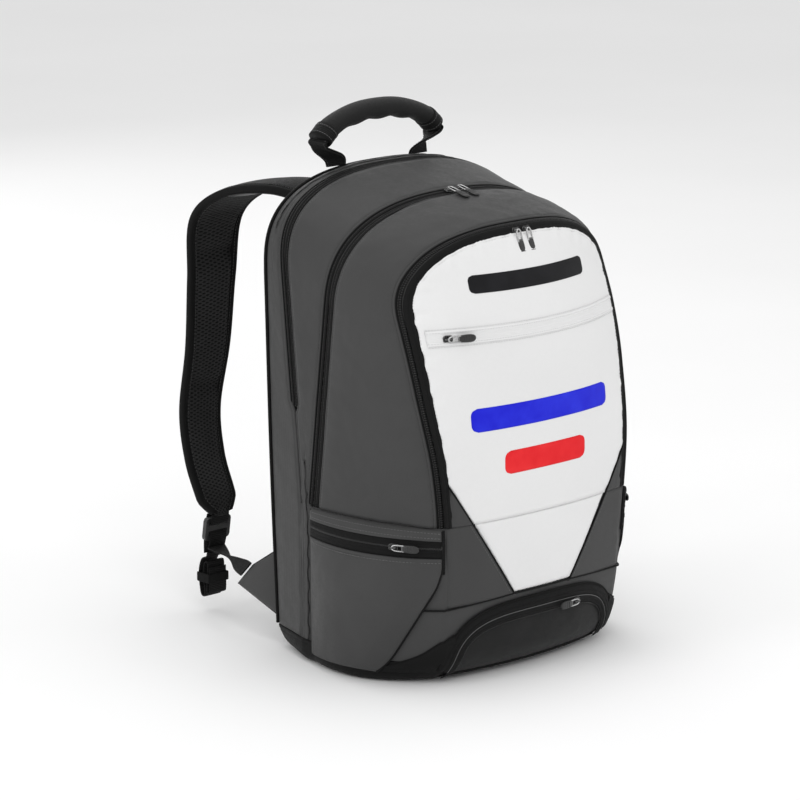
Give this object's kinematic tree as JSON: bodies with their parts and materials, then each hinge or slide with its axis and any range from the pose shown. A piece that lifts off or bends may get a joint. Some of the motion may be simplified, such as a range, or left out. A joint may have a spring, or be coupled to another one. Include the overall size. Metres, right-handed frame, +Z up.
{
  "type": "racket backpack",
  "caption": "Upright backpack for racket sports with a zipped main lid, front flap pocket, shoe compartment, side pockets, padded back, handle and shoulder straps.",
  "frame": {"origin": "middle of the bag's flat base, on the ground", "axes": "+Z up, -Y the front of the bag (away from the wearer), +Y towards the wearer's back, +X to the right seen from the front"},
  "size_m": [0.3658, 0.4352, 0.5656],
  "materials": {
    "body_fabric": "smooth coated polyester, dark grey",
    "white_panel": "smooth coated fabric, white",
    "black_fabric": "matte woven polyester, black",
    "air_mesh": "padded air mesh, black",
    "zip_tape": "woven zip tape with nylon teeth, black",
    "lining": "thin lining, grey",
    "webbing": "ribbed webbing, black",
    "zip_metal": "gunmetal-plated zinc, polished",
    "buckle_plastic": "moulded acetal, black",
    "board": "polyethylene board, grey"
  },
  "bodies": {
    "bag": {"lower_shell": "body_fabric", "base_board": "board", "shoe_tunnel": "lining", "shoe_zip_tape": "zip_tape", "lower_front_panel": "white_panel", "mid_gusset": "body_fabric", "main_zip_rear_tape": "zip_tape", "back_zip_front_tape": "zip_tape", "back_zip_rear_tape": "zip_tape", "back_gusset": "body_fabric", "back_panel": "black_fabric", "frame_sheet": "board", "divider": "lining", "back_pad_left": "air_mesh", "back_pad_right": "air_mesh", "lumbar_pad": "air_mesh", "side_pocket_left": "body_fabric", "side_pocket_right": "body_fabric", "side_pocket_zip_left": "zip_tape", "side_pocket_zip_right": "zip_tape", "strap_wing_left": "black_fabric", "strap_wing_right": "black_fabric", "lower_webbing_left": "webbing", "lower_webbing_right": "webbing"},
    "main_lid": {"front_gusset": "body_fabric", "main_zip_front_tape": "zip_tape", "flap_zip_rear_tape": "zip_tape", "front_pocket_liner": "lining"},
    "front_flap": {"front_flap": "white_panel", "flap_zip_front_tape": "zip_tape", "pocket_zip_tape": "white_panel"},
    "shoe_door": {"shoe_door": "black_fabric"},
    "handle": {"handle_grip": "black_fabric", "handle_webbing_left": "webbing", "handle_webbing_right": "webbing"},
    "strap_left": {"shoulder_strap_left": "air_mesh", "ladder_lock_left": "buckle_plastic"},
    "strap_right": {"shoulder_strap_right": "air_mesh", "ladder_lock_right": "buckle_plastic"},
    "tail_left": {"webbing_tail_left": "webbing"},
    "tail_right": {"webbing_tail_right": "webbing"},
    "slider_main_left": {"zip_slider_main_left": "zip_metal"},
    "puller_main_left": {"zip_puller_main_left": "zip_metal"},
    "slider_main_right": {"zip_slider_main_right": "zip_metal"},
    "puller_main_right": {"zip_puller_main_right": "zip_metal"},
    "slider_flap_left": {"zip_slider_flap_left": "zip_metal"},
    "puller_flap_left": {"zip_puller_flap_left": "zip_metal"},
    "slider_flap_right": {"zip_slider_flap_right": "zip_metal"},
    "puller_flap_right": {"zip_puller_flap_right": "zip_metal"},
    "slider_pocket_left": {"zip_slider_pocket_left": "zip_metal"},
    "puller_pocket_left": {"zip_puller_pocket_left": "zip_metal"},
    "slider_pocket_right": {"zip_slider_pocket_right": "zip_metal"},
    "puller_pocket_right": {"zip_puller_pocket_right": "zip_metal"},
    "slider_front": {"zip_slider_front": "zip_metal"},
    "puller_front": {"zip_puller_front": "zip_metal"},
    "slider_shoe": {"zip_slider_shoe": "zip_metal"},
    "puller_shoe": {"zip_puller_shoe": "zip_metal"},
    "slider_back": {"zip_slider_back": "zip_metal"},
    "puller_back": {"zip_puller_back": "zip_metal"}
  },
  "joints": [
    {"name": "lid_open", "type": "hinge", "parent": "bag", "child": "main_lid", "pos_m": [0, -0.1475, 0.168], "axis": [1, 0, 0], "range_deg": [0, 30]},
    {"name": "flap_open", "type": "hinge", "parent": "main_lid", "child": "front_flap", "pos_m": [0, -0.1475, 0.168], "axis": [1, 0, 0], "range_deg": [0, 80]},
    {"name": "shoe_door_open", "type": "hinge", "parent": "bag", "child": "shoe_door", "pos_m": [0, -0.119, 0.0065], "axis": [1, 0, 0], "range_deg": [0, 50]},
    {"name": "handle_swing", "type": "hinge", "parent": "bag", "child": "handle", "pos_m": [0, 0.102, 0.5035], "axis": [1, 0, 0], "range_deg": [-55, 55]},
    {"name": "strap_swing_left", "type": "hinge", "parent": "bag", "child": "strap_left", "pos_m": [-0.068, 0.1085, 0.47], "axis": [-1, 0, 0], "range_deg": [0, 12], "deforming": ["lower_webbing_left"]},
    {"name": "tail_swing_left", "type": "hinge", "parent": "strap_left", "child": "tail_left", "pos_m": [-0.1005, 0.2505, 0.071], "axis": [1, 0, 0], "range_deg": [-25, 25]},
    {"name": "strap_swing_right", "type": "hinge", "parent": "bag", "child": "strap_right", "pos_m": [0.068, 0.1085, 0.47], "axis": [-1, 0, 0], "range_deg": [0, 12], "deforming": ["lower_webbing_right"]},
    {"name": "tail_swing_right", "type": "hinge", "parent": "strap_right", "child": "tail_right", "pos_m": [0.1005, 0.2505, 0.071], "axis": [1, 0, 0], "range_deg": [-25, 25]},
    {"name": "main_zip_left", "type": "hinge", "parent": "main_lid", "child": "slider_main_left", "pos_m": [0, 0.0501, -0.02021], "axis": [0, -0.9926, -0.1211], "range_deg": [0, 8]},
    {"name": "main_zip_right", "type": "hinge", "parent": "main_lid", "child": "slider_main_right", "pos_m": [0, 0.0501, -0.02021], "axis": [0, 0.9926, 0.1211], "range_deg": [0, 8]},
    {"name": "flap_zip_left", "type": "hinge", "parent": "front_flap", "child": "slider_flap_left", "pos_m": [0, 0.11824, 0.22719], "axis": [0, -0.7204, -0.6936], "range_deg": [0, 11]},
    {"name": "flap_zip_right", "type": "hinge", "parent": "front_flap", "child": "slider_flap_right", "pos_m": [0, 0.11824, 0.22719], "axis": [0, 0.7204, 0.6936], "range_deg": [0, 11]},
    {"name": "pocket_zip_left", "type": "hinge", "parent": "bag", "child": "slider_pocket_left", "pos_m": [-0.01684, -0.0231, 0.148], "axis": [0, 0, 1], "range_deg": [-38, 10]},
    {"name": "pocket_zip_right", "type": "hinge", "parent": "bag", "child": "slider_pocket_right", "pos_m": [0.01684, -0.0231, 0.148], "axis": [0, 0, -1], "range_deg": [-38, 10]},
    {"name": "front_zip", "type": "hinge", "parent": "front_flap", "child": "slider_front", "pos_m": [0, 0.1457, 0.358], "axis": [0, 0, 1], "range_deg": [0, 46]},
    {"name": "shoe_zip", "type": "hinge", "parent": "shoe_door", "child": "slider_shoe", "pos_m": [0, 0.4262, 0.062], "axis": [0, 0, -1], "range_deg": [0, 9.5]},
    {"name": "back_zip", "type": "slide", "parent": "bag", "child": "slider_back", "axis": [0, 0.0896, 0.996], "range_m": [0, 0.09]},
    {"name": "pull_tab_main_left", "type": "hinge", "parent": "slider_main_left", "child": "puller_main_left", "pos_m": [-0.0072, -0.01224, 0.4857], "axis": [-1, 0, 0], "range_deg": [0, 150]},
    {"name": "pull_tab_main_right", "type": "hinge", "parent": "slider_main_right", "child": "puller_main_right", "pos_m": [0.0072, -0.01224, 0.4857], "axis": [-1, 0, 0], "range_deg": [0, 150]},
    {"name": "pull_tab_flap_left", "type": "hinge", "parent": "slider_flap_left", "child": "puller_flap_left", "pos_m": [-0.0072, -0.11131, 0.45427], "axis": [-1, 0, 0], "range_deg": [0, 120]},
    {"name": "pull_tab_flap_right", "type": "hinge", "parent": "slider_flap_right", "child": "puller_flap_right", "pos_m": [0.0072, -0.11131, 0.45427], "axis": [-1, 0, 0], "range_deg": [0, 120]},
    {"name": "pull_tab_pocket_left", "type": "hinge", "parent": "slider_pocket_left", "child": "puller_pocket_left", "pos_m": [-0.16598, -0.09252, 0.148], "axis": [0, 0, -1], "range_deg": [0, 150]},
    {"name": "pull_tab_pocket_right", "type": "hinge", "parent": "slider_pocket_right", "child": "puller_pocket_right", "pos_m": [0.16598, -0.09252, 0.148], "axis": [0, 0, 1], "range_deg": [0, 150]},
    {"name": "pull_tab_front", "type": "hinge", "parent": "slider_front", "child": "puller_front", "pos_m": [-0.11502, -0.12171, 0.358], "axis": [0, 0, -1], "range_deg": [0, 150]},
    {"name": "pull_tab_shoe", "type": "hinge", "parent": "slider_shoe", "child": "puller_shoe", "pos_m": [0.04885, -0.14751, 0.062], "axis": [0, 0, 1], "range_deg": [0, 150]},
    {"name": "pull_tab_back", "type": "hinge", "parent": "slider_back", "child": "puller_back", "pos_m": [0.16714, 0.05735, 0.29994], "axis": [0, -0.996, 0.0896], "range_deg": [0, 150]}
  ]
}
